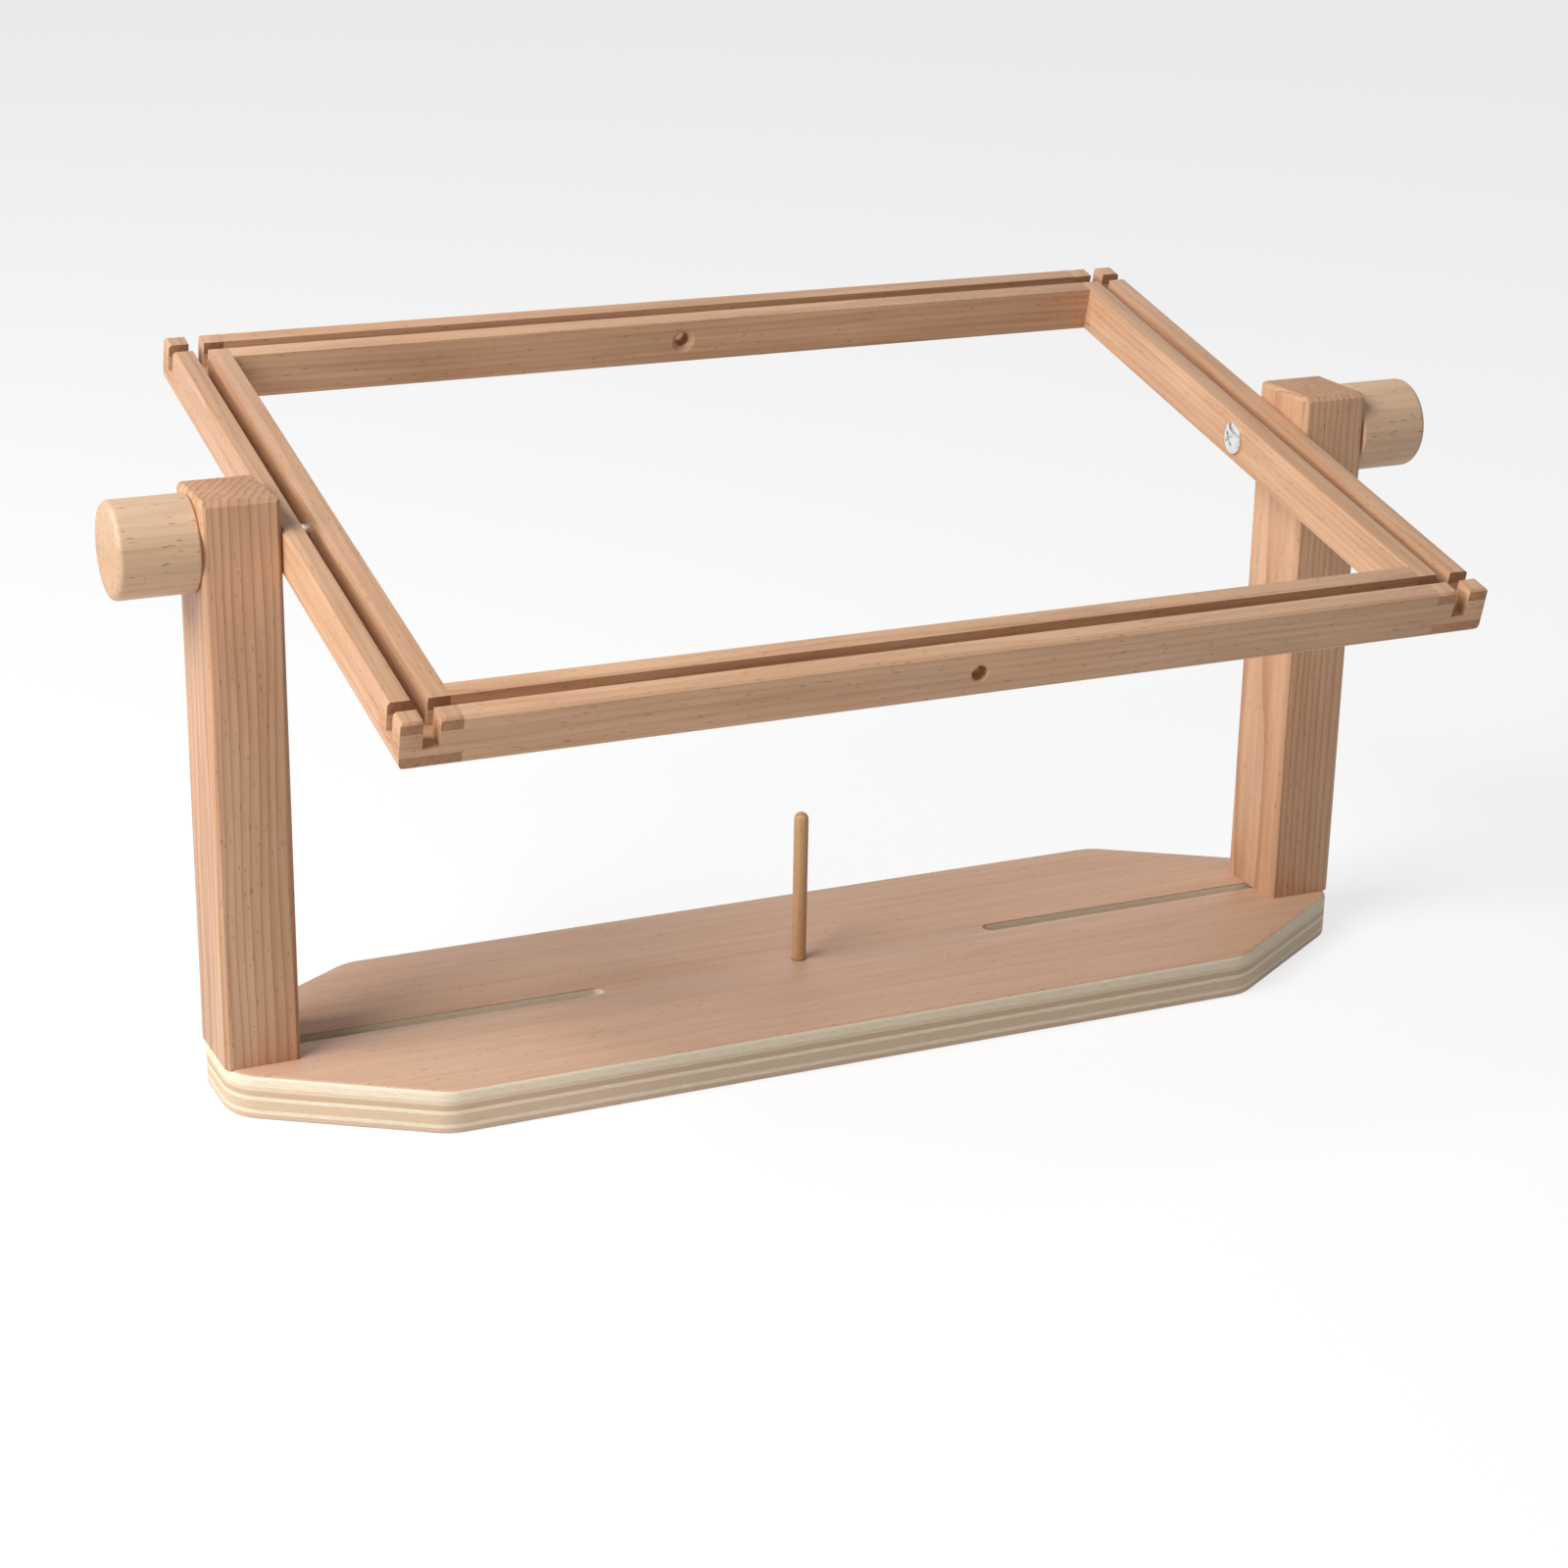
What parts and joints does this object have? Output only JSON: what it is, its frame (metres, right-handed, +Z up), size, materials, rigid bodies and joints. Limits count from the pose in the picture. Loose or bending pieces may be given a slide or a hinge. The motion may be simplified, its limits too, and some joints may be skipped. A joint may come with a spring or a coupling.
{
  "type": "embroidery frame stand",
  "caption": "Tabletop embroidery stand: a grooved wooden frame tilts between upright posts on a slotted plywood base with a thread peg; round knobs clamp it.",
  "frame": {"origin": "middle of the base board's underside, on the surface that the stand rests on", "axes": "+X to the right along the base board and the pivot axis, +Y to the back, +Z up"},
  "size_m": [0.5606, 0.3038, 0.2664],
  "materials": {
    "ply_board": "sanded plywood, pale beech face veneer, cream edge plies",
    "post_beech": "sanded steamed beech, thin clear oil",
    "rail_beech": "sanded steamed beech, thin clear oil",
    "knob_beech": "turned pale beech, sanded",
    "peg_wood": "sanded dowel",
    "bright_steel": "bright nickel plated",
    "zinc_steel": "zinc plated",
    "insert_brass": "yellow passivated"
  },
  "bodies": {
    "base": {"base_board": "ply_board"},
    "peg": {"thread_peg": "peg_wood"},
    "frame": {"front_rail": "rail_beech", "back_rail": "rail_beech", "left_rail": "rail_beech", "right_rail": "rail_beech", "left_pivot_bolt": "bright_steel", "right_pivot_bolt": "bright_steel"},
    "left_post": {"left_post": "post_beech", "left_foot_bolt": "zinc_steel", "left_foot_washer": "zinc_steel", "left_foot_insert": "insert_brass"},
    "left_knob_nut": {"left_knob_insert": "insert_brass"},
    "left_knob": {"left_knob": "knob_beech"},
    "right_post": {"right_post": "post_beech", "right_foot_bolt": "zinc_steel", "right_foot_washer": "zinc_steel", "right_foot_insert": "insert_brass"},
    "right_knob_nut": {"right_knob_insert": "insert_brass"},
    "right_knob": {"right_knob": "knob_beech"}
  },
  "joints": [
    {"name": "frame_tilt", "type": "hinge", "parent": "base", "child": "frame", "pos_m": [0, 0, 0.223], "axis": [1, 0, 0], "range_deg": [-97, 71]},
    {"name": "peg_lift", "type": "slide", "parent": "base", "child": "peg", "axis": [0, 0, 1], "range_m": [0, 0.012]},
    {"name": "left_post_slide", "type": "slide", "parent": "base", "child": "left_post", "axis": [-1, 0, 0], "range_m": [0, 0.003]},
    {"name": "left_knob_travel", "type": "slide", "parent": "left_post", "child": "left_knob_nut", "axis": [-1, 0, 0], "range_m": [0, 0.003]},
    {"name": "left_knob_spin", "type": "hinge", "parent": "left_knob_nut", "child": "left_knob", "pos_m": [-0.2493, 0, 0.223], "axis": [-1, 0, 0], "range_deg": [0, 1080]},
    {"name": "right_post_slide", "type": "slide", "parent": "base", "child": "right_post", "axis": [1, 0, 0], "range_m": [0, 0.003]},
    {"name": "right_knob_travel", "type": "slide", "parent": "right_post", "child": "right_knob_nut", "axis": [1, 0, 0], "range_m": [0, 0.003]},
    {"name": "right_knob_spin", "type": "hinge", "parent": "right_knob_nut", "child": "right_knob", "pos_m": [0.2493, 0, 0.223], "axis": [1, 0, 0], "range_deg": [0, 1080]}
  ],
  "couplings": [
    {"joint": "left_knob_travel", "follows": "left_knob_spin", "m_per_rad": 0.00015915},
    {"joint": "right_knob_travel", "follows": "right_knob_spin", "m_per_rad": 0.00015915}
  ]
}
